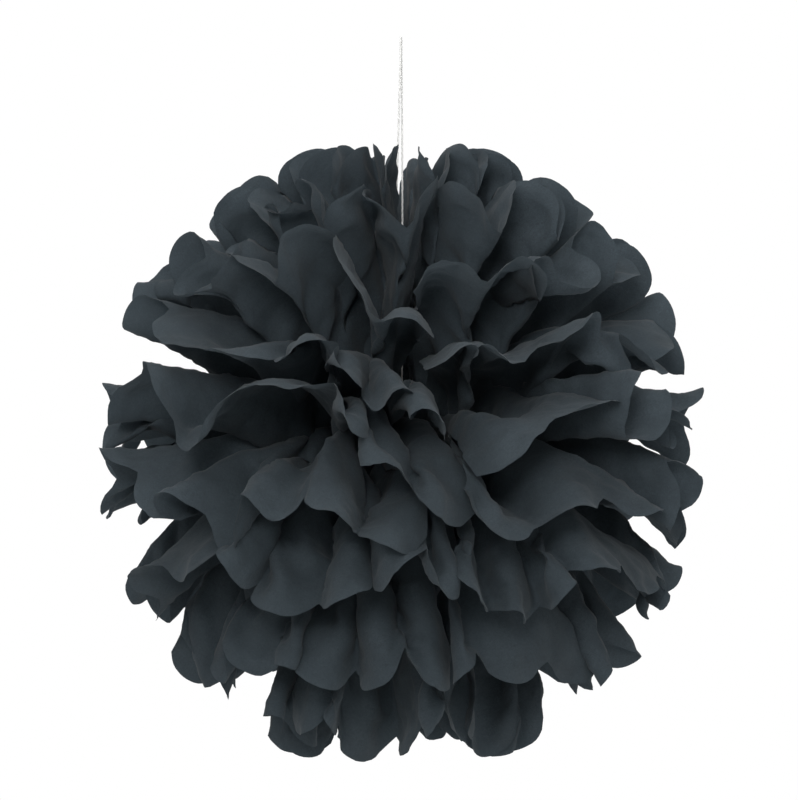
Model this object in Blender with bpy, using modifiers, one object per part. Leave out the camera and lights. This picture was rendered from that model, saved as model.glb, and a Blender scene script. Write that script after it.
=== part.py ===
"""Tissue paper pom pom on a hanging loop of thread.

Nine tissue sheets are folded together into one accordion strip and cinched at the middle by a wire.
Each end of the strip opens into a half circle fan, and the sheets are drawn apart from pole to pole
until their rounded ends close into a ball. A thread knotted round the top of the wire rises between
the two fans and turns back down as a loop. The origin is where a hook bears inside that loop, with
+Z up, and the ball hangs below it.
"""

import math
import random

import bmesh
import bpy
from mathutils import Vector

# The paper, as it is cut and folded
PLEAT_COUNT = 12
PLEAT_WIDTH = 0.050
SHEET_HALF_LENGTH = 0.205
SCALLOP_DEPTH = 0.025
PAPER_THICKNESS = 0.0001

# The bundle where the wire cinches the strip
TIE_HALF_LENGTH = 0.005
BUNDLE_PITCH = 0.0024
BUNDLE_ZIGZAG = 0.0020
BUNDLE_SHEET_STEP = 0.0020

# How far each sheet is drawn up or down, in degrees at its rim, from the highest to the lowest
SHEET_RISES = (80.0, 63.0, 45.0, 27.0, 8.0, -12.0, -32.0, -53.0, -76.0)

# How the pleats open on their way out from the wire
OPENING_LENGTH = 0.050
CREASE_MEMORY = 0.30
STEEPEST_PLEAT_SINE = 0.9
POLE_CLEARANCE = math.radians(3.0)
ROOT_NARROWING = 0.45
PETAL_CUP = math.radians(2.5)
TIP_CURL = math.radians(4.0)
SWAY = math.radians(1.6)
SWAY_SEED = 100

# The seams where the two fans meet, at the front and at the back
SEAM_HALF_GAP = 0.0010
SEAM_CLOSING_LENGTH = 0.030
SEAM_WANDER = math.radians(3.0)
SEAM_TURN = math.radians(9.0)

# The wire round the bundle, with its twisted ends below
WIRE_RADIUS = 0.0005
WIRE_CLEARANCE = 0.0005
WIRE_CORNER = 0.0020
WIRE_BEND = 0.0010
TWIST_LENGTH = 0.009
TWIST_PITCH = 0.006

# The thread, from the knot on the wire up to the hook and back down
THREAD_RADIUS = 0.00065
KNOT_RADIUS = 0.0016
TOUCH_GAP = 0.0003
STRAND_SPACING = 0.0018
HOOK_HEIGHT = 0.274
LOOP_RADIUS = 0.0028
FRONT_STRAND = (
    (-0.0006, -0.0013, -0.2540),
    (-0.0016, -0.0022, -0.2250),
    (-0.0025, -0.0030, -0.1850),
    (-0.0030, -0.0036, -0.1450),
    (-0.0030, -0.0038, -0.1100),
    (-0.0021, -0.0035, -0.0750),
    (-0.0011, -0.0031, -0.0400),
    (-0.0003, -0.0028, -0.0120),
)
BACK_STRAND = (
    (0.0003, 0.0028, -0.0120),
    (0.0006, 0.0029, -0.0400),
    (0.0008, 0.0030, -0.0750),
    (0.0009, 0.0031, -0.1100),
    (0.0010, 0.0030, -0.1450),
    (0.0009, 0.0027, -0.1850),
    (0.0006, 0.0021, -0.2250),
    (0.0002, 0.0013, -0.2540),
)

# How finely the solids are divided
ROW_SHARES = (0.18, 0.50)
SAME_POINT = 1e-6
COLUMNS_PER_PLEAT = 4
CORNER_STEPS = 4
LOOP_STEPS = 4
THREAD_STEPS_PER_SPAN = 3
STEPS_PER_TWIST = 8
KNOT_STEPS = 14
KNOT_RINGS = 8

PAPER_COLOUR = (0.034, 0.041, 0.045, 1.0)
WIRE_COLOUR = (0.35, 0.35, 0.36, 1.0)
THREAD_COLOUR = (0.70, 0.70, 0.69, 1.0)


def clear_scene():
    for obj in list(bpy.data.objects):
        bpy.data.objects.remove(obj, do_unlink=True)


def make_material(name, colour, roughness, metallic=0.0):
    material = bpy.data.materials.new(name)
    material.use_nodes = True
    shader = material.node_tree.nodes["Principled BSDF"]
    shader.inputs["Base Color"].default_value = colour
    shader.inputs["Roughness"].default_value = roughness
    shader.inputs["Metallic"].default_value = metallic
    material.diffuse_color = colour
    return material


def add_object(name, data, material, parent, collection):
    obj = bpy.data.objects.new(name, data)
    data.materials.append(material)
    collection.objects.link(obj)
    obj.parent = parent
    return obj


def bundle_half_width():
    return BUNDLE_PITCH * PLEAT_COUNT / 2


def bundle_half_stack():
    """Height of the highest sheet above the middle of the bundle."""
    return BUNDLE_SHEET_STEP * (len(SHEET_RISES) - 1) / 2


def bundle_half_height():
    return bundle_half_stack() + BUNDLE_ZIGZAG + PAPER_THICKNESS / 2


def notch_distance():
    """Distance along the paper from the tie's middle to where two rounded ends meet."""
    return SHEET_HALF_LENGTH - SCALLOP_DEPTH


def pleat_bow(across):
    """0 on the fold lines and 1 on the middle of a pleat, as a parabola."""
    return 1.0 - (2.0 * (across % 1.0) - 1.0) ** 2


def zigzag(across):
    """+1 on the even fold lines and -1 on the odd ones, straight between them."""
    step = across % 2.0
    return 1.0 - 2.0 * step if step <= 1.0 else 2.0 * step - 3.0


def pleat_angle(reach, rise):
    """Half the angle that the accordion takes up, seen from the tie.

    A pleat far out on a level sheet is pulled almost flat. Near the tie and near the poles there is
    less room round the axis, so the same width of paper stands deeper.
    """
    chord = math.pi / PLEAT_COUNT * reach * math.cos(rise)
    depth = math.sqrt(max(PLEAT_WIDTH**2 - chord**2, (CREASE_MEMORY * PLEAT_WIDTH) ** 2))
    opened = 1.0 - math.exp(-reach / OPENING_LENGTH)
    return math.asin(min(STEEPEST_PLEAT_SINE, 0.5 * depth * opened / reach))


def rise_share(reach):
    """How much of its rise a sheet has at a distance from the tie, where the pleats leave room for it."""
    steepest = math.radians(max(abs(rise) for rise in SHEET_RISES))
    room = math.pi / 2 - POLE_CLEARANCE - pleat_angle(reach, steepest)
    return min(1.0, room / steepest)


def half_fan(level_reach):
    """Azimuth of a fan's edge. It closes on the seam as it gets away from the thread."""
    closed = 1.0 - math.exp(-(level_reach / SEAM_CLOSING_LENGTH) ** 2)
    return math.pi / 2 + math.asin((TIE_HALF_LENGTH - SEAM_HALF_GAP) * closed / level_reach)


def interpolate(values, place):
    first = min(int(place), len(values) - 2)
    share = place - first
    return values[first] * (1.0 - share) + values[first + 1] * share


class PleatedSheet:
    """One tissue sheet, as a rule that takes a point of the flat sheet to its place in the ball."""

    def __init__(self, number):
        self.rise = math.radians(SHEET_RISES[number])
        self.stack_height = bundle_half_stack() - number * BUNDLE_SHEET_STEP
        chance = random.Random(SWAY_SEED + number)
        self.wander = SEAM_WANDER * chance.choice((-1, 1))
        self.swing = {}
        self.lift = {}
        for side in (-1, 1):
            self.swing[side] = [chance.uniform(-SWAY, SWAY) for _ in range(PLEAT_COUNT + 1)]
            self.lift[side] = [chance.uniform(-SWAY, SWAY) for _ in range(PLEAT_COUNT + 1)]

    def place(self, across, along):
        """across counts pleats from one edge, along is the distance in metres from the tie's middle."""
        side = 1 if along > 0 else -1
        fan = 2.0 * across / PLEAT_COUNT - 1.0
        wave = zigzag(across)
        root = Vector((
            side * min(abs(along), TIE_HALF_LENGTH),
            fan * bundle_half_width(),
            self.stack_height + wave * BUNDLE_ZIGZAG,
        ))
        reach = abs(along) - TIE_HALF_LENGTH
        if reach <= 0.0:
            return root
        looseness = (reach / SHEET_HALF_LENGTH) ** 2
        past_notch = max(0.0, abs(along) - notch_distance()) / SCALLOP_DEPTH
        rise = self.rise * rise_share(reach)
        elevation = rise + wave * pleat_angle(reach, rise)
        elevation += interpolate(self.lift[side], across) * looseness
        elevation += pleat_bow(across) * PETAL_CUP * looseness
        elevation -= rise / (math.pi / 2) * TIP_CURL * past_notch
        limit = math.pi / 2 - POLE_CLEARANCE
        elevation = max(-limit, min(limit, elevation))
        level_reach = reach * math.cos(elevation)
        narrowing = ROOT_NARROWING * math.exp(-reach / OPENING_LENGTH)
        azimuth = fan * half_fan(level_reach) * (1.0 - narrowing)
        azimuth += interpolate(self.swing[side], across) * looseness * (1.0 - fan**4)
        azimuth += side * self.wander * looseness
        return root + Vector((
            side * level_reach * math.cos(azimuth),
            level_reach * math.sin(azimuth),
            reach * math.sin(elevation),
        ))


def row_distance(row, across):
    """Distance from the tie's middle of a row of points, out to the rounded edge as the last row."""
    shares = (0.0, *ROW_SHARES, 1.0)
    if row < len(shares):
        return TIE_HALF_LENGTH + shares[row] * (notch_distance() - TIE_HALF_LENGTH)
    return notch_distance() + SCALLOP_DEPTH * math.sqrt(pleat_bow(across))


def make_sheet(number, name, material, parent, collection):
    """A flat grid is folded into place, with fewer columns where the pleats are plain."""
    sheet = PleatedSheet(number)
    rows_per_side = len(ROW_SHARES) + 3
    columns = PLEAT_COUNT * COLUMNS_PER_PLEAT
    lines = 2 * rows_per_side
    grid = bmesh.new()
    bmesh.ops.create_grid(grid, x_segments=columns, y_segments=lines - 1, size=0.5)
    between_folds = set()
    plain = set()
    for vertex in grid.verts:
        column = round((vertex.co.x + 0.5) * columns)
        line = round((vertex.co.y + 0.5) * (lines - 1))
        side = 1 if line >= rows_per_side else -1
        row = line - rows_per_side if side > 0 else rows_per_side - 1 - line
        if column % 2:
            between_folds.add(vertex)
            if row < rows_per_side - 2:
                plain.add(vertex)
        across = column / COLUMNS_PER_PLEAT
        vertex.co = sheet.place(across, side * row_distance(row, across))
    spare = [
        edge for edge in grid.edges
        if between_folds.issuperset(edge.verts) and not plain.isdisjoint(edge.verts)
    ]
    bmesh.ops.dissolve_edges(grid, edges=spare, use_verts=True)
    bmesh.ops.remove_doubles(grid, verts=grid.verts, dist=SAME_POINT)
    bmesh.ops.triangulate(grid, faces=grid.faces)
    mesh = bpy.data.meshes.new(name)
    grid.to_mesh(mesh)
    grid.free()
    obj = add_object(name, mesh, material, parent, collection)
    thick = obj.modifiers.new("paper_thickness", "SOLIDIFY")
    thick.thickness = PAPER_THICKNESS
    thick.offset = 0.0
    return obj


def make_tube(name, points, radius, material, parent, collection):
    curve = bpy.data.curves.new(name, "CURVE")
    curve.dimensions = "3D"
    curve.bevel_depth = radius
    curve.bevel_resolution = 2
    curve.use_fill_caps = True
    spline = curve.splines.new("POLY")
    spline.points.add(len(points) - 1)
    for spline_point, point in zip(spline.points, points):
        spline_point.co = (*point, 1.0)
    spline.use_smooth = True
    return add_object(name, curve, material, parent, collection)


def wire_top():
    """Height of the wire's top run, which leaves room for the thread's turn below it."""
    return bundle_half_height() + 2 * (TOUCH_GAP + THREAD_RADIUS) + WIRE_RADIUS


def wire_bottom():
    return -bundle_half_height() - WIRE_CLEARANCE - WIRE_RADIUS


def wire_side():
    return bundle_half_width() + PAPER_THICKNESS / 2 + WIRE_CLEARANCE + WIRE_RADIUS


def corner_arc(centre_y, centre_z, start):
    """Points of a quarter circle in the wire's plane that turns clockwise seen from +X."""
    points = []
    for step in range(CORNER_STEPS + 1):
        angle = start - step / CORNER_STEPS * math.pi / 2
        points.append((centre_y + WIRE_CORNER * math.cos(angle), centre_z + WIRE_CORNER * math.sin(angle)))
    return points


def twisted_end(phase):
    """One of the wire's two ends, from its bend down to its tip."""
    spread = WIRE_RADIUS + TOUCH_GAP / 2
    steps = round(STEPS_PER_TWIST * TWIST_LENGTH / TWIST_PITCH)
    points = []
    for step in range(steps + 1):
        drop = TWIST_LENGTH * step / steps
        angle = phase + 2 * math.pi * drop / TWIST_PITCH
        points.append(Vector((
            spread * math.cos(angle),
            spread * math.sin(angle),
            wire_bottom() - WIRE_BEND - drop,
        )))
    return points


def make_wire(material, parent, collection):
    """The wire starts at one tip, runs round the bundle and comes back down beside itself."""
    inner_side = wire_side() - WIRE_CORNER
    upper = wire_top() - WIRE_CORNER
    lower = wire_bottom() + WIRE_CORNER
    spread = WIRE_RADIUS + TOUCH_GAP / 2
    ring = [
        (-WIRE_BEND, wire_bottom()),
        *corner_arc(-inner_side, lower, -math.pi / 2),
        *corner_arc(-inner_side, upper, math.pi),
        *corner_arc(inner_side, upper, math.pi / 2),
        *corner_arc(inner_side, lower, 0.0),
        (WIRE_BEND, wire_bottom()),
    ]
    points = list(reversed(twisted_end(math.pi)))
    for number, (y, z) in enumerate(ring):
        share = number / (len(ring) - 1)
        points.append(Vector((spread * (2 * share - 1), y, z)))
    points += twisted_end(0.0)
    return make_tube("tie_wire", points, WIRE_RADIUS, material, parent, collection)


def knot_centre():
    return wire_top() + WIRE_RADIUS + TOUCH_GAP + KNOT_RADIUS


def knot_top():
    return knot_centre() + KNOT_RADIUS


def make_knot(material, parent, collection, helpers):
    """The thread's turn round the wire, joined to the lump of the knot above it."""
    turn_radius = WIRE_RADIUS + TOUCH_GAP + THREAD_RADIUS
    bpy.ops.mesh.primitive_torus_add(
        major_radius=turn_radius,
        minor_radius=THREAD_RADIUS,
        major_segments=KNOT_STEPS,
        minor_segments=KNOT_RINGS,
        location=(0.0, 0.0, wire_top()),
        rotation=(math.pi / 2, 0.0, 0.0),
    )
    turn = bpy.context.object
    turn.name = "thread_knot"
    for owner in list(turn.users_collection):
        owner.objects.unlink(turn)
    collection.objects.link(turn)
    turn.data.materials.append(material)
    turn.parent = parent
    lump = bmesh.new()
    bmesh.ops.create_uvsphere(lump, u_segments=KNOT_STEPS, v_segments=KNOT_RINGS, radius=KNOT_RADIUS)
    bmesh.ops.translate(lump, verts=lump.verts, vec=(0.0, 0.0, knot_centre()))
    mesh = bpy.data.meshes.new("knot_lump")
    lump.to_mesh(mesh)
    lump.free()
    helper = add_object("knot_lump", mesh, material, parent, helpers)
    helper.hide_render = True
    helper.display_type = "WIRE"
    join = turn.modifiers.new("knot_lump", "BOOLEAN")
    join.operation = "UNION"
    join.object = helper
    return turn


def smooth_route(route, steps):
    """Points of a smooth curve through a route. Its direction at each point follows both neighbours."""
    route = [Vector(point) for point in route]
    headings = []
    for before, after in zip([route[0], *route], [*route[1:], route[-1]]):
        headings.append((after - before).normalized())
    points = []
    for start, end, leaving, arriving in zip(route, route[1:], headings, headings[1:]):
        span = (end - start).length
        for step in range(steps):
            t = step / steps
            points.append(
                start * (2 * t**3 - 3 * t**2 + 1)
                + leaving * span * (t**3 - 2 * t**2 + t)
                + end * (3 * t**2 - 2 * t**3)
                + arriving * span * (t**3 - t**2)
            )
    points.append(route[-1])
    return points


def make_thread(material, parent, collection):
    """Both strands stand on the knot, and the loop between them hangs over the hook."""
    foot = knot_top() + TOUCH_GAP - HOOK_HEIGHT
    loop_centre = THREAD_RADIUS - LOOP_RADIUS
    first, last = Vector(FRONT_STRAND[-1]), Vector(BACK_STRAND[0])
    loop = []
    for step in range(LOOP_STEPS + 1):
        share = step / LOOP_STEPS
        angle = math.pi * share
        loop.append((
            first.x * (1.0 - share) + last.x * share,
            -LOOP_RADIUS * math.cos(angle),
            loop_centre + LOOP_RADIUS * math.sin(angle),
        ))
    route = [
        (0.0, -STRAND_SPACING / 2, foot),
        *FRONT_STRAND,
        *loop,
        *BACK_STRAND,
        (0.0, STRAND_SPACING / 2, foot),
    ]
    points = smooth_route(route, THREAD_STEPS_PER_SPAN)
    return make_tube("hanging_thread", points, THREAD_RADIUS, material, parent, collection)


def main():
    clear_scene()
    scene = bpy.context.scene
    collection = bpy.data.collections.new("tissue_paper_pom_pom")
    helpers = bpy.data.collections.new("helpers")
    scene.collection.children.link(collection)
    scene.collection.children.link(helpers)

    hook = bpy.data.objects.new("hook_point", None)
    collection.objects.link(hook)
    ball = bpy.data.objects.new("ball_middle", None)
    collection.objects.link(ball)
    ball.parent = hook
    ball.location = (0.0, 0.0, -HOOK_HEIGHT)
    ball.rotation_euler = (0.0, 0.0, SEAM_TURN)

    paper = make_material("tissue_paper", PAPER_COLOUR, 0.85)
    steel = make_material("wire_steel", WIRE_COLOUR, 0.35, metallic=1.0)
    cotton = make_material("white_thread", THREAD_COLOUR, 0.75)

    for number, rise in enumerate(SHEET_RISES):
        half, order = ("upper", number + 1) if rise > 0.0 else ("lower", len(SHEET_RISES) - number)
        make_sheet(number, f"{half}_sheet_{order}", paper, ball, collection)
    make_wire(steel, ball, collection)
    make_knot(cotton, ball, collection, helpers)
    make_thread(cotton, hook, collection)


main()
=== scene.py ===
import math
import random

import bpy
import numpy as np
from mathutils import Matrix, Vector


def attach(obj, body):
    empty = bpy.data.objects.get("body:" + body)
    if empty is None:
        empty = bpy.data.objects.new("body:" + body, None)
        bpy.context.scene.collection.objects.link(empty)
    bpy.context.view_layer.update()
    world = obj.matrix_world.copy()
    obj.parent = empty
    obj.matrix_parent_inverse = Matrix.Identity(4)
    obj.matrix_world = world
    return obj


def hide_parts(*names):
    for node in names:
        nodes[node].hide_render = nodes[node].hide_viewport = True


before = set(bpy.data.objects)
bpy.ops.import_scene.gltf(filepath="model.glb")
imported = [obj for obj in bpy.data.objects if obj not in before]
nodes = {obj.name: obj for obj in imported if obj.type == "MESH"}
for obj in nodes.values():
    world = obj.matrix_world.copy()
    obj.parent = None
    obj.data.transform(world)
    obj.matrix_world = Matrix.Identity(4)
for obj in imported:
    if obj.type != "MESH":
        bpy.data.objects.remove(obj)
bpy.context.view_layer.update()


def linearColour(hexCode):
    # sRGB hex to the linear values that the shaders take
    parts = [int(hexCode[i:i + 2], 16) / 255 for i in (1, 3, 5)]
    return (*[c / 12.92 if c <= 0.04045 else ((c + 0.055) / 1.055) ** 2.4 for c in parts], 1.0)


def addNode(tree, kind, settings=None, links=None):
    # one shader node with its settings, its socket values and what feeds it
    node = tree.nodes.new(kind)
    for name, value in (settings or {}).items():
        if hasattr(node, name) and name not in node.inputs:
            setattr(node, name, value)
        else:
            node.inputs[name].default_value = value
    for name, source in (links or {}).items():
        tree.links.new(source, node.inputs[name])
    return node


def newMaterial(name):
    material = bpy.data.materials.new(name)
    material.use_nodes = True
    return material, material.node_tree, material.node_tree.nodes["Principled BSDF"]


# camera: level with the ball, far off, as a product is photographed
view = {
    "width": 798,
    "height": 800,
    "metresPerPixel": 0.000658,     # the ball's 608 px are 40 cm
    "hook": (401.0, 38.0),          # where the hook point shows
    "distance": 2.3,
}


def makeCamera():
    camera = bpy.data.objects.new("camera", bpy.data.cameras.new("camera"))
    bpy.context.scene.collection.objects.link(camera)
    right = (view["width"] / 2 - view["hook"][0]) * view["metresPerPixel"]
    down = (view["height"] / 2 - view["hook"][1]) * view["metresPerPixel"]
    camera.location = (right, -view["distance"], -down)
    camera.rotation_euler = (math.pi / 2, 0, 0)
    camera.data.sensor_width = 36
    tall = view["height"] * view["metresPerPixel"]
    camera.data.lens = camera.data.sensor_width * view["distance"] / tall
    camera.data.clip_end = 30
    bpy.context.scene.camera = camera


makeCamera()
print("camera set")


# tissue paper: nine sheets folded as one strip and opened into a ball
paper = {
    "pleats": 15,
    "pleatWidth": 0.050,
    "halfLength": 0.205,
    "scallop": 0.022,
    "tieHalf": 0.005,
    "bundlePitch": 0.0019,
    "bundleZigzag": 0.0018,
    "bundleStep": 0.0020,
    # one value a sheet, from the highest to the lowest, in degrees
    "rises": (79, 63, 48, 32, 15, -1, -19, -40, -65),
    "droops": (-38, -40, -44, -42, -40, -38, -40, -44, -34),
    "wanders": (-8, 7, -5, -3, 0, 3, 2, 4, 2),
    "foldDroop": 0.7,
    "bendStart": 0.45,          # share of the half length
    "openingLength": 0.050,
    "creaseMemory": 0.30,       # share of a pleat that never opens flat
    "steepestSine": 0.9,
    "poleClearance": 3,
    "rootNarrowing": 0.55,
    "seamHalfGap": 0.0004,
    "seamClosing": 0.030,
    "seamTurn": 9,
    "ballMiddle": 0.274,
    "columnsPerPleat": 8,       # both are doubled after the paper relaxes
    "rowsPerSide": 45,
}


def between(values, across):
    # values at the folds, run straight from one fold to the next
    return np.interp(across, np.arange(len(values)), values)


class FoldedSheet:
    def __init__(self, number):
        p = paper
        self.number = number
        self.rise = math.radians(p["rises"][number])
        self.stack = ((len(p["rises"]) - 1) / 2 - number) * p["bundleStep"]
        self.wander = math.radians(p["wanders"][number])
        columns = p["pleats"] * p["columnsPerPleat"] + 1
        self.across = np.linspace(0, p["pleats"], columns)
        self.petal = np.minimum(self.across.astype(int), p["pleats"] - 1)
        self.inPetal = self.across - self.petal
        self.bow = 1 - (2 * self.inPetal - 1) ** 2
        step = self.across % 2
        self.wave = np.where(step <= 1, 1 - 2 * step, 2 * step - 3)

    def pleatAngle(self, reach, rise):
        p = paper
        chord = math.pi / p["pleats"] * reach * np.cos(rise)
        depth = np.sqrt(np.maximum(p["pleatWidth"] ** 2 - chord ** 2,
                                   (p["creaseMemory"] * p["pleatWidth"]) ** 2))
        opened = 1 - np.exp(-reach / p["openingLength"])
        return np.arcsin(np.minimum(p["steepestSine"], 0.5 * depth * opened / reach))

    def place(self, side, reach):
        # reach is rows by columns; the answer is rows by columns by three
        p = paper
        reach = np.maximum(reach, 1e-5)
        fan = 2 * self.across / p["pleats"] - 1
        steepest = math.radians(max(abs(rise) for rise in p["rises"]))
        pole = math.pi / 2 - math.radians(p["poleClearance"])
        share = np.minimum(1, (pole - self.pleatAngle(reach, steepest)) / steepest)
        rise = self.rise * share
        elevation = rise + self.wave * self.pleatAngle(reach, rise)
        elevation = np.clip(elevation, -pole, pole)
        level = reach * np.cos(elevation)
        closed = 1 - np.exp(-(level / p["seamClosing"]) ** 2)
        halfFan = math.pi / 2 + np.arcsin(
            np.clip((p["tieHalf"] - p["seamHalfGap"]) * closed / level, -1, 1))
        narrowing = p["rootNarrowing"] * np.exp(-reach / p["openingLength"])
        azimuth = fan * halfFan * (1 - narrowing)
        azimuth = azimuth + side * self.wander * reach / p["halfLength"]
        root = np.stack([
            np.full_like(fan, side * p["tieHalf"]),
            fan * p["bundlePitch"] * p["pleats"] / 2,
            self.stack + self.wave * p["bundleZigzag"],
        ], axis=-1)
        out = np.stack([
            side * level * np.cos(azimuth),
            level * np.sin(azimuth),
            reach * np.sin(elevation),
        ], axis=-1)
        return root + out

    def reachRows(self):
        # from the tie to the scalloped rim of each column
        p = paper
        rim = p["halfLength"] - p["scallop"] * (1 - np.sqrt(np.maximum(0, self.bow))) - p["tieHalf"]
        share = np.linspace(0, 1, p["rowsPerSide"])[:, None]
        return share * rim[None, :]


def smoothStep(x):
    x = np.clip(x, 0, 1)
    return x * x * (3 - 2 * x)


def softNoise(x, y, size, chance):
    # smooth random heights between -1 and 1 on a lattice of the given size
    x, y = x / size[0] + 50, y / size[1] + 50
    lattice = chance.uniform(-1, 1, (160, 160))
    i, j = np.floor(x).astype(int), np.floor(y).astype(int)
    fx, fy = smoothStep(x - i), smoothStep(y - j)
    i, j = i % 159, j % 159
    low = lattice[i, j] * (1 - fx) + lattice[i + 1, j] * fx
    high = lattice[i, j + 1] * (1 - fx) + lattice[i + 1, j + 1] * fx
    return low * (1 - fy) + high * fy


# how unevenly the sheets are opened by hand; angles in degrees, lengths in metres
handling = {
    "seed": 900,
    "foldTurn": 7.0,
    "petalTurn": 8.0,
    "petalCurl": 40.0,
    "petalLean": 46.0,
    "setShare": 0.5,
    "ripple": 0.0020,
    "crumple": 0.0016,
    "crumpleSizes": ((0.020, 0.8), (0.011, 0.5), (0.006, 0.22)),     # width, share of the height
    "creases": 120,
    "creaseTall": 0.0009,
}

# where folds and petal tips of the front show in the photograph, in pixels:
# (sheet, side, place across the sheet in pleats): (x, y)
frontTips = {
    (2, 1): {0: (418, 290), 0.5: (445, 260), 1: (488, 285), 1.5: (528, 268), 2: (549, 305)},
    (2, -1): {0: (427, 345), 0.5: (400, 322), 1: (381, 350)},
    (3, 1): {0: (422, 378), 0.5: (466, 347), 1: (471, 360), 1.5: (490, 354), 2: (507, 378)},
    (3, -1): {0: (447, 455), 0.5: (432, 420), 1: (413, 414), 1.5: (392, 404), 2: (370, 397), 2.5: (347, 372),
              3: (327, 346), 3.5: (300, 350), 4: (272, 356), 4.5: (250, 349)},
    (4, -1): {0: (474, 532), 0.5: (448, 520), 1: (421, 489), 1.5: (385, 478), 2: (366, 448), 2.5: (351, 415),
              3: (342, 388), 3.5: (305, 383)},
    (4, 1): {0: (480, 502), 0.5: (512, 455), 1: (552, 405), 1.5: (600, 405), 2: (640, 400)},
    (5, -1): {0: (418, 538), 0.5: (392, 548), 1: (362, 541), 1.5: (330, 513), 2: (305, 487), 2.5: (267, 519),
              3: (243, 450)},
    (5, 1): {0: (478, 503), 0.5: (505, 530), 1: (538, 550), 1.5: (578, 503), 2: (618, 487), 2.5: (648, 516),
             3: (674, 500), 3.5: (695, 500)},
    (6, -1): {0: (449, 570), 0.5: (447, 604), 1: (420, 548), 1.5: (393, 579), 2: (372, 581), 2.5: (345, 596),
              3: (313, 607), 3.5: (283, 616), 4: (262, 588), 4.5: (238, 577), 5: (226, 545), 5.5: (203, 583),
              6: (176, 555)},
    (6, 1): {0: (462, 570), 0.5: (480, 598), 1: (497, 611), 1.5: (517, 618), 2: (540, 616), 2.5: (557, 598),
             3: (569, 573), 3.5: (600, 571), 4: (613, 562), 4.5: (645, 597), 5: (668, 560)},
    (7, -1): {0: (448, 677), 0.5: (435, 687), 1: (405, 657), 1.5: (378, 685), 2: (355, 674), 2.5: (322, 685),
              3: (294, 650), 3.5: (289, 668), 4: (284, 640), 4.5: (255, 676), 5: (223, 635)},
    (7, 1): {0: (447, 676), 0.5: (460, 678), 1: (474, 650), 1.5: (505, 683), 2: (546, 640), 2.5: (582, 690),
             3: (616, 645)},
    (8, -1): {0.5: (405, 755), 1: (393, 744), 1.5: (366, 757), 2: (345, 722), 2.5: (330, 728), 3: (330, 705),
              3.5: (305, 732), 4: (290, 705), 4.5: (270, 712), 5: (245, 690)},
    (8, 1): {0.5: (430, 733), 1: (440, 702), 1.5: (455, 740), 2: (465, 715), 2.5: (475, 728)},
}


def onBall(pixel, radius):
    # the near point where the line of sight of a pixel meets the ball of that radius
    camera = bpy.context.scene.camera.location
    away = np.array([
        (pixel[0] - view["width"] / 2) * view["metresPerPixel"],
        view["distance"],
        -(pixel[1] - view["height"] / 2) * view["metresPerPixel"],
    ])
    away /= np.linalg.norm(away)
    start = np.array([camera.x, camera.y, camera.z + paper["ballMiddle"]])
    half = -(start @ away)
    left = half ** 2 - (start @ start - radius ** 2)
    point = start + away * (half - math.sqrt(max(0.0, left)))
    turn = -math.radians(paper["seamTurn"])
    return np.array([point[0] * math.cos(turn) - point[1] * math.sin(turn),
                     point[0] * math.sin(turn) + point[1] * math.cos(turn), point[2]])


def turnBetween(start, end):
    # the turn that brings one direction onto another, as its axis times its angle
    start, end = start / np.linalg.norm(start), end / np.linalg.norm(end)
    axis = np.cross(start, end)
    size = np.linalg.norm(axis)
    return axis / max(size, 1e-9) * math.atan2(size, start @ end)


def handOpening(sheet, side):
    # turns of the folds and petals of one fan, then how each petal curls and leans
    h, count = handling, paper["pleats"]
    chance = random.Random(h["seed"] + 10 * sheet.number + (side > 0))
    room = math.cos(sheet.rise)

    def draws(rows, most):
        return np.radians([[chance.uniform(-most, most) * room for _ in range(3)] for _ in range(rows)])

    folds = draws(count + 1, h["foldTurn"])
    petals = draws(count, h["petalTurn"])
    curl = np.array([chance.uniform(-h["petalCurl"], h["petalCurl"]) * room for _ in range(count)])
    lean = np.array([chance.uniform(-h["petalLean"], h["petalLean"]) * room for _ in range(count)])
    fan = 2 * np.arange(count + 1) / count - 1
    folds *= (1 - fan ** 4)[:, None]
    petals *= (1 - (fan[:-1] + 1 / count) ** 4)[:, None]
    return {"folds": folds, "tips": petals, "curl": curl, "lean": lean}


def aimFront(sheet, side, base, reach, pose):
    # turns the front's folds and petals until their rims show where the photograph has them
    aims = frontTips.get((sheet.number, side), {})
    for place in aims:
        if place % 1:
            pose["curl"][int(place)] *= handling["setShare"]
            pose["lean"][int(place)] *= handling["setShare"]
    for _ in range(4):
        bent = bendPaths(sheet, side, turnPaths(sheet, base, reach, pose), reach, pose)
        for place, pixel in aims.items():
            column = round(place * paper["columnsPerPleat"])
            root, rim = bent[0, column], bent[-1, column]
            turn = turnBetween(rim - root, onBall(pixel, np.linalg.norm(rim)) - root)
            pose["tips" if place % 1 else "folds"][int(place)] += turn
    return bent


def turnPaths(sheet, base, reach, pose):
    # each column turns about its root, more and more on its way out
    folds = np.stack([between(pose["folds"][:, i], sheet.across) for i in range(3)], axis=-1)
    middles = (pose["folds"][1:] + pose["folds"][:-1]) / 2
    turn = folds + sheet.bow[:, None] * (pose["tips"] - middles)[sheet.petal]
    turn = turn[None] * (reach / reach[-1:])[..., None]
    angle = np.linalg.norm(turn, axis=2, keepdims=True)
    axis = turn / np.maximum(angle, 1e-9)
    arm = base - base[:1]
    return base[:1] + arm * np.cos(angle) + np.cross(axis, arm) * np.sin(angle) \
        + axis * (axis * arm).sum(axis=2, keepdims=True) * (1 - np.cos(angle))


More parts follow.
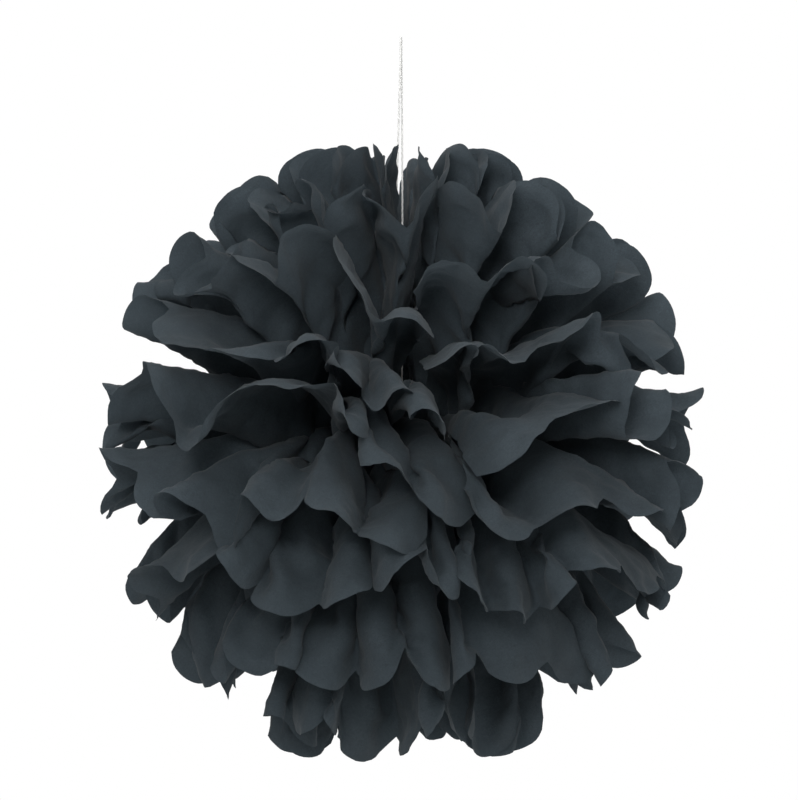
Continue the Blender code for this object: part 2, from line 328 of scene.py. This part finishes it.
def bendPaths(sheet, side, base, reach, pose):
    # each column of the paper is bent as it runs outwards, which keeps its length
    p = paper
    steps = np.diff(base, axis=0)
    length = np.linalg.norm(steps, axis=2, keepdims=True)
    along = steps / length
    flat = base[p["rowsPerSide"] // 2] - base[0]
    sideways = side * np.stack([-flat[:, 1], flat[:, 0], np.zeros(len(flat))], axis=1)
    sideways = np.broadcast_to(sideways, along.shape)
    sideways = sideways - along * (sideways * along).sum(axis=2, keepdims=True)
    sideways = sideways / np.linalg.norm(sideways, axis=2, keepdims=True)
    up = side * np.cross(along, sideways)
    middle = (reach[1:] + reach[:-1]) / 2 / p["halfLength"]
    u, bow, petal = 2 * sheet.inPetal - 1, sheet.bow, sheet.petal
    bend = p["droops"][sheet.number] * (p["foldDroop"] + (1 - p["foldDroop"]) * bow)
    bend = bend + bow * pose["curl"][petal] + bow * u * pose["lean"][petal]
    bend = np.radians(bend) * smoothStep((middle - p["bendStart"]) / (1 - p["bendStart"]))
    bend = bend[..., None]
    turned = along * np.cos(bend) + up * np.sin(bend)
    return np.concatenate([base[:1], base[:1] + np.cumsum(turned * length, axis=0)])


def halveSpacing(grid, axis):
    # puts a point between each two neighbours, on the smooth line through four
    grid = np.moveaxis(grid, axis, 0)
    middle = (grid[1:] + grid[:-1]) / 2
    middle[1:-1] += (grid[1:-2] + grid[2:-1] - grid[:-3] - grid[3:]) / 16
    finer = np.empty((2 * len(grid) - 1, *grid.shape[1:]))
    finer[::2], finer[1::2] = grid, middle
    return np.moveaxis(finer, 0, axis)


def normals(points):
    down = np.gradient(points, axis=0)
    over = np.gradient(points, axis=1)
    out = np.cross(over, down)
    return out / np.maximum(np.linalg.norm(out, axis=2, keepdims=True), 1e-12)


def crumpleHeight(x, reach, chance):
    # heights of the crumples over the flat paper
    outer = smoothStep(reach / 0.09)
    height = handling["ripple"] * softNoise(x, reach, (0.016, 0.060), chance) * smoothStep(reach / 0.19)
    for size, share in handling["crumpleSizes"]:
        ridge = 1 - 2 * np.abs(softNoise(x, reach, (size, size), chance))
        height = height + handling["crumple"] * share * ridge * outer
    for _ in range(handling["creases"]):
        cx, cy = chance.uniform(0, x.max()), chance.uniform(0.06, 0.20)
        angle = chance.normal(math.pi / 2, 0.6)
        long, wide = chance.uniform(0.012, 0.035), chance.uniform(0.003, 0.007)
        tall = chance.uniform(-handling["creaseTall"], handling["creaseTall"])
        dx, dy = x - cx, reach - cy
        s = dx * math.cos(angle) + dy * math.sin(angle)
        d = -dx * math.sin(angle) + dy * math.cos(angle)
        across = np.maximum(0, 1 - np.abs(d) / wide)
        height = height + tall * across * np.maximum(0, 1 - (s / long) ** 2)
    return height


def flatLengths(reach, over, down):
    # distances over the flat paper between grid neighbours that many columns and rows apart
    rows, columns = reach.shape
    x = np.broadcast_to(np.arange(columns) * paper["pleatWidth"] / paper["columnsPerPleat"], reach.shape)
    near, far = slice(0, rows - down), slice(down, rows)
    if over >= 0:
        one, other = (near, slice(0, columns - over)), (far, slice(over, columns))
    else:
        one, other = (near, slice(-over, columns)), (far, slice(0, columns + over))
    return np.hypot(x[other] - x[one], reach[other] - reach[one])


def holdLengths(points, one, other, rest, firmness):
    gap = points[other] - points[one]
    length = np.sqrt((gap ** 2).sum(axis=-1, keepdims=True))
    move = gap * (0.5 * firmness * (length - rest[..., None]) / np.maximum(length, 1e-9))
    points[one] += move
    points[other] -= move


relaxing = {
    "rounds": 120,
    "firmness": 0.9,
    "bending": 0.03,
    "memory": 0.01,
    "slack": 0.020,
    "creaseSoftness": 0.1,
    "shake": 0.0040,
}


def relaxPaper(points, reach):
    # all halves at once: paper hardly stretches, bends easily and remembers its place
    r = relaxing
    rows, columns = reach.shape
    target = points.copy()
    free = smoothStep((reach - 0.02) / 0.04)[None, ..., None]
    full = slice(None)
    families = []
    slack = 1 + r["slack"]
    for over, down in ((1, 0), (0, 1), (1, 1), (-1, 1)):
        rest = flatLengths(reach, over, down) * slack
        for first in (0, 1):
            if down == 0:
                one = (full, full, slice(first, columns - 1, 2))
                other = (full, full, slice(first + 1, columns, 2))
                families.append((one, other, rest[:, first::2]))
            else:
                low, high = (0, columns - over) if over >= 0 else (-over, columns)
                one = (full, slice(first, rows - 1, 2), slice(low, high))
                other = (full, slice(first + 1, rows, 2), slice(low + over, high + over))
                families.append((one, other, rest[first::2]))
    crease = np.ones(columns - 2)
    crease[paper["columnsPerPleat"] - 1::paper["columnsPerPleat"]] = r["creaseSoftness"]
    for _ in range(r["rounds"]):
        for one, other, rest in families:
            holdLengths(points, one, other, rest, r["firmness"])
        fold = points[:, :, 2:] + points[:, :, :-2] - 2 * points[:, :, 1:-1]
        fold *= r["bending"] * crease[None, None, :, None]
        points[:, :, 1:-1] += 2 * fold
        points[:, :, :-2] -= fold
        points[:, :, 2:] -= fold
        fold = r["bending"] * (points[:, 2:] + points[:, :-2] - 2 * points[:, 1:-1])
        points[:, 1:-1] += 2 * fold
        points[:, :-2] -= fold
        points[:, 2:] -= fold
        points += r["memory"] * (target - points)
        points[:] = target + (points - target) * free
    return points


def openedHalves(sheets):
    halves = [(sheet, side) for sheet in sheets for side in (-1, 1)]
    reach = sheets[0].reachRows()
    points, chances = [], []
    for sheet, side in halves:
        chance = np.random.RandomState(700 + 10 * sheet.number + (side > 0))
        bent = aimFront(sheet, side, sheet.place(side, reach), reach, handOpening(sheet, side))
        x = np.broadcast_to(sheet.across * paper["pleatWidth"], reach.shape)
        shake = relaxing["shake"] * softNoise(x, reach, (0.022, 0.022), chance) * smoothStep(reach / 0.08)
        points.append(bent + normals(bent) * shake[..., None])
        chances.append(chance)
    points = relaxPaper(np.array(points), reach)
    points = halveSpacing(halveSpacing(points, 1), 2)
    x, reach = (halveSpacing(halveSpacing(flat, 0), 1) for flat in (x, reach))
    done = {}
    for (sheet, side), half, chance in zip(halves, points, chances):
        height = crumpleHeight(x, reach, chance)
        done[sheet.number, side] = half + normals(half) * height[..., None]
    return done, x, reach


def makeSheet(left, right, x, reach, name, material):
    grid = np.concatenate([left[::-1], right])
    along = np.concatenate([-(reach + paper["tieHalf"])[::-1], reach + paper["tieHalf"]])
    turn = math.radians(paper["seamTurn"])
    turned = grid.copy()
    turned[..., 0] = grid[..., 0] * math.cos(turn) - grid[..., 1] * math.sin(turn)
    turned[..., 1] = grid[..., 0] * math.sin(turn) + grid[..., 1] * math.cos(turn)
    turned[..., 2] -= paper["ballMiddle"]
    rows, columns = grid.shape[:2]
    index = np.arange(rows * columns).reshape(rows, columns)
    faces = np.stack([index[:-1, :-1], index[:-1, 1:], index[1:, 1:], index[1:, :-1]], axis=-1).reshape(-1, 4)
    mesh = bpy.data.meshes.new(name)
    mesh.from_pydata(turned.reshape(-1, 3).tolist(), [], faces.tolist())
    flat = np.stack([np.concatenate([x, x]), along], axis=-1)
    layer = mesh.uv_layers.new(name="flatPaper")
    layer.data.foreach_set("uv", flat.reshape(-1, 2)[faces.reshape(-1)].reshape(-1))
    mesh.polygons.foreach_set("use_smooth", [True] * len(faces))
    mesh.materials.append(material)
    piece = bpy.data.objects.new(name, mesh)
    bpy.context.scene.collection.objects.link(piece)
    return piece


tissueLook = {
    "darkTone": "#31393E",
    "lightTone": "#424B51",
    "letThrough": 0.44,
}


def tissueMaterial():
    # dyed tissue paper, creped soft by handling: flat charcoal, lighter where light comes through.
    # Scales are per metre of flat paper: patches of 33 mm, crinkles of 4.5 mm, and fibres of 1.4 mm,
    # which is coarser than real ones, too fine to show
    material, tree, shader = newMaterial("dyedTissuePaper")
    flat = addNode(tree, "ShaderNodeUVMap", {"uv_map": "flatPaper"})
    patch = addNode(tree, "ShaderNodeTexNoise", {"Scale": 30.0, "Detail": 3.0}, {"Vector": flat.outputs[0]})
    fibre = addNode(tree, "ShaderNodeTexNoise", {"Scale": 700.0, "Detail": 4.0, "Distortion": 1.5},
                    {"Vector": flat.outputs[0]})
    both = addNode(tree, "ShaderNodeMath", {"operation": "MULTIPLY"},
                   {0: patch.outputs[0], 1: fibre.outputs[0]})
    tone = addNode(tree, "ShaderNodeValToRGB", None, {"Fac": both.outputs[0]})
    tone.color_ramp.elements[0].position, tone.color_ramp.elements[1].position = 0.10, 0.45
    tone.color_ramp.elements[0].color = linearColour(tissueLook["darkTone"])
    tone.color_ramp.elements[1].color = linearColour(tissueLook["lightTone"])
    crinkle = addNode(tree, "ShaderNodeTexNoise", {"Scale": 220.0, "Detail": 3.0, "Distortion": 0.6},
                      {"Vector": flat.outputs[0]})
    bump = addNode(tree, "ShaderNodeBump", {"Strength": 0.5, "Distance": 0.0006},
                   {"Height": crinkle.outputs[0]})
    tree.links.new(tone.outputs[0], shader.inputs["Base Color"])
    tree.links.new(bump.outputs[0], shader.inputs["Normal"])
    through = addNode(tree, "ShaderNodeBsdfTranslucent", None,
                      {"Color": tone.outputs[0], "Normal": bump.outputs[0]})
    thin = addNode(tree, "ShaderNodeMixShader", {"Fac": tissueLook["letThrough"]},
                   {1: shader.outputs[0], 2: through.outputs[0]})
    tree.links.new(thin.outputs[0], tree.nodes["Material Output"].inputs["Surface"])
    shader.inputs["Roughness"].default_value = 0.85
    shader.inputs["IOR"].default_value = 1.45
    shader.inputs["Specular IOR Level"].default_value = 0.25
    shader.inputs["Sheen Weight"].default_value = 0.06
    shader.inputs["Sheen Roughness"].default_value = 0.5
    return material


tissue = tissueMaterial()
sheetNames = ("upper_sheet_1", "upper_sheet_2", "upper_sheet_3", "upper_sheet_4", "upper_sheet_5",
              "lower_sheet_4", "lower_sheet_3", "lower_sheet_2", "lower_sheet_1")
sheets = [FoldedSheet(number) for number in range(len(sheetNames))]
halves, flatX, flatReach = openedHalves(sheets)
for number, node in enumerate(sheetNames):
    piece = makeSheet(halves[number, -1], halves[number, 1], flatX, flatReach, "tissue_" + node, tissue)
    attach(piece, "root")
    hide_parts(node)
print("nine sheets folded and opened")


# hanging thread: one length, knotted on the wire, over the hook and back
thread = {
    "radius": 0.00065,
    "spacing": 0.0018,
    "loopRadius": 0.0028,
    "foot": -0.2574,
    "plies": 3,
    "plyPitch": 0.0042,     # one full turn of the plies
    "ringPoints": 15,
    "step": 0.0005,
    "loopSteps": 12,
    "length": 0.52,
    "diameter": 0.0013,
    "front": (
        (-0.0006, -0.0013, -0.2540), (-0.0016, -0.0022, -0.2250), (-0.0025, -0.0030, -0.1850),
        (-0.0030, -0.0036, -0.1450), (-0.0030, -0.0038, -0.1100), (-0.0021, -0.0035, -0.0750),
        (-0.0011, -0.0031, -0.0400), (-0.0003, -0.0028, -0.0120),
    ),
    "back": (
        (0.0003, 0.0028, -0.0120), (0.0006, 0.0029, -0.0400), (0.0008, 0.0030, -0.0750),
        (0.0009, 0.0031, -0.1100), (0.0010, 0.0030, -0.1450), (0.0009, 0.0027, -0.1850),
        (0.0006, 0.0021, -0.2250), (0.0002, 0.0013, -0.2540),
    ),
}


def smoothRoute(route, step):
    # a smooth line through the route's points, cut about every step
    route = [Vector(point) for point in route]
    headings = [(after - before).normalized()
                for before, after in zip([route[0], *route], [*route[1:], route[-1]])]
    points = []
    for start, end, leaving, arriving in zip(route, route[1:], headings, headings[1:]):
        span = (end - start).length
        count = max(2, round(span / step))
        for i in range(count):
            t = i / count
            points.append(
                start * (2 * t ** 3 - 3 * t ** 2 + 1) + leaving * span * (t ** 3 - 2 * t ** 2 + t)
                + end * (3 * t ** 2 - 2 * t ** 3) + arriving * span * (t ** 3 - t ** 2))
    points.append(route[-1])
    return points


def threadRoute():
    t = thread
    first, last = t["front"][-1], t["back"][0]
    loop = []
    for i in range(t["loopSteps"] + 1):
        share = i / t["loopSteps"]
        loop.append((
            first[0] * (1 - share) + last[0] * share,
            -t["loopRadius"] * math.cos(math.pi * share),
            t["radius"] - t["loopRadius"] + t["loopRadius"] * math.sin(math.pi * share),
        ))
    feet = [(0.0, y * t["spacing"] / 2, t["foot"]) for y in (-1, 1)]
    return smoothRoute([feet[0], *t["front"], *loop, *t["back"], feet[1]], t["step"])


def twistedTube(name, path, radius, material):
    # the plies stand out from the round thread and turn along it
    t = thread
    count = len(path)
    points, run = [], 0.0
    sideways = Vector((1, 0, 0))
    for i, point in enumerate(path):
        along = (path[min(i + 1, count - 1)] - path[max(i - 1, 0)]).normalized()
        sideways = (sideways - along * sideways.dot(along)).normalized()
        across = along.cross(sideways)
        if i:
            run += (point - path[i - 1]).length
        for j in range(t["ringPoints"]):
            angle = 2 * math.pi * j / t["ringPoints"]
            ply = math.cos(t["plies"] * angle - 2 * math.pi * run / t["plyPitch"])
            r = radius * (0.87 + 0.13 * ply)
            points.append(point + (sideways * math.cos(angle) + across * math.sin(angle)) * r)
    ring = t["ringPoints"]
    faces = [[i * ring + j, i * ring + (j + 1) % ring, (i + 1) * ring + (j + 1) % ring, (i + 1) * ring + j]
             for i in range(count - 1) for j in range(ring)]
    faces.append(list(range(ring))[::-1])
    faces.append([(count - 1) * ring + j for j in range(ring)])
    mesh = bpy.data.meshes.new(name)
    mesh.from_pydata(points, [], faces)
    mesh.polygons.foreach_set("use_smooth", [True] * len(faces))
    mesh.materials.append(material)
    piece = bpy.data.objects.new(name, mesh)
    bpy.context.scene.collection.objects.link(piece)
    return piece, run


def threadMaterial():
    # spun cotton, bleached: chalky greyish white with fuzzy fibres
    material, tree, shader = newMaterial("spunCottonThread")
    place = addNode(tree, "ShaderNodeTexCoord")
    fibre = addNode(tree, "ShaderNodeTexNoise", {"Scale": 1500.0, "Detail": 3.0},
                    {"Vector": place.outputs["Object"]})
    tone = addNode(tree, "ShaderNodeValToRGB", None, {"Fac": fibre.outputs[0]})
    tone.color_ramp.elements[0].color = linearColour("#AAAAA8")
    tone.color_ramp.elements[1].color = linearColour("#CECECC")
    bump = addNode(tree, "ShaderNodeBump", {"Strength": 0.4, "Distance": 0.0002},
                   {"Height": fibre.outputs[0]})
    tree.links.new(tone.outputs[0], shader.inputs["Base Color"])
    tree.links.new(bump.outputs[0], shader.inputs["Normal"])
    shader.inputs["Roughness"].default_value = 0.8
    shader.inputs["Sheen Weight"].default_value = 0.2
    return material


def wireMaterial():
    # mild steel wire, bright drawn: fine die lines along it
    material, tree, shader = newMaterial("drawnSteelWire")
    place = addNode(tree, "ShaderNodeTexCoord")
    lines = addNode(tree, "ShaderNodeTexNoise", {"Scale": 900.0, "Detail": 2.0},
                    {"Vector": place.outputs["Object"]})
    gloss = addNode(tree, "ShaderNodeMapRange", {"To Min": 0.25, "To Max": 0.45}, {"Value": lines.outputs[0]})
    tree.links.new(gloss.outputs[0], shader.inputs["Roughness"])
    shader.inputs["Base Color"].default_value = linearColour("#A6A7A8")
    shader.inputs["Metallic"].default_value = 1.0
    return material


cotton = threadMaterial()
steel = wireMaterial()
threadPath = threadRoute()
threadPiece, threadLength = twistedTube("cotton_hanging_thread", threadPath, thread["radius"], cotton)
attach(threadPiece, "root")
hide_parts("hanging_thread")
for node, material in (("thread_knot", cotton), ("tie_wire", steel)):
    for slot in nodes[node].material_slots:
        slot.material = material
print("thread hung, %.3f m" % threadLength)


# studio: white all round the view, soft light from above and in front
studio = {
    "floorHeight": -1.05,
    "floorHalf": 2.5,
    "worldBelow": 0.15,
    "worldAbove": 1.20,
    "lamps": (
        # name, place, size, power, spread of the beam, height that it is aimed at
        ("keyLamp", (-0.20, -1.8, 0.50), 0.9, 2.5, 38, 0.04),
        ("fillLamp", (1.0, -2.2, 0.3), 1.6, 2.5, 180, -0.27),
        ("topLamp", (-0.1, -0.6, 1.5), 1.8, 10, 180, -0.27),
    ),
}


def whiteMaterial(name):
    # matt painted board, off-white, that keeps its shadow
    material, tree, shader = newMaterial(name)
    shader.inputs["Base Color"].default_value = linearColour("#F2F2F0")
    shader.inputs["Roughness"].default_value = 0.9
    return material


def makeStudio():
    s = studio
    for name, place, size, power, spread, aimed in s["lamps"]:
        lamp = bpy.data.objects.new(name, bpy.data.lights.new(name, "AREA"))
        lamp.data.shape = "DISK"
        lamp.data.size = size
        lamp.data.energy = power
        lamp.data.spread = math.radians(spread)
        lamp.location = place
        aim = Vector((0, 0, aimed)) - Vector(place)
        lamp.rotation_euler = aim.to_track_quat("-Z", "Y").to_euler()
        bpy.context.scene.collection.objects.link(lamp)
    world = bpy.data.worlds.new("studio")
    bpy.context.scene.world = world
    world.use_nodes = True
    tree = world.node_tree
    tree.nodes.clear()
    path = addNode(tree, "ShaderNodeLightPath")
    seen = addNode(tree, "ShaderNodeMath", {"operation": "ADD", "use_clamp": True},
                   {0: path.outputs["Is Camera Ray"], 1: path.outputs["Is Glossy Ray"]})
    seen = addNode(tree, "ShaderNodeMath", {"operation": "ADD", "use_clamp": True},
                   {0: seen.outputs[0], 1: path.outputs["Is Transmission Ray"]})
    # the room's own light is brighter from above than from below
    place = addNode(tree, "ShaderNodeTexCoord")
    facing = addNode(tree, "ShaderNodeSeparateXYZ", None, {"Vector": place.outputs["Generated"]})
    height = addNode(tree, "ShaderNodeMapRange",
                     {"From Min": -1.0, "From Max": 1.0,
                      "To Min": s["worldBelow"], "To Max": s["worldAbove"]},
                     {"Value": facing.outputs["Z"]})
    soft = addNode(tree, "ShaderNodeBackground", None, {"Strength": height.outputs[0]})
    white = addNode(tree, "ShaderNodeBackground", {"Strength": 1.0})
    soft.inputs["Color"].default_value = (1, 1, 1, 1)
    white.inputs["Color"].default_value = (1, 1, 1, 1)
    mix = addNode(tree, "ShaderNodeMixShader", None,
                  {0: seen.outputs[0], 1: soft.outputs[0], 2: white.outputs[0]})
    addNode(tree, "ShaderNodeOutputWorld", None, {"Surface": mix.outputs[0]})
    mesh = bpy.data.meshes.new("studio_floor")
    size, z = s["floorHalf"], s["floorHeight"]
    corners = [(-size, -size, z), (size, -size, z), (size, size, z), (-size, size, z)]
    mesh.from_pydata(corners, [], [(0, 1, 2, 3)])
    floor = bpy.data.objects.new("studio_floor", mesh)
    floor.data.materials.append(whiteMaterial("paintedFloor"))
    bpy.context.scene.collection.objects.link(floor)


makeStudio()
bpy.context.scene.view_settings.view_transform = "Standard"
print("studio set")
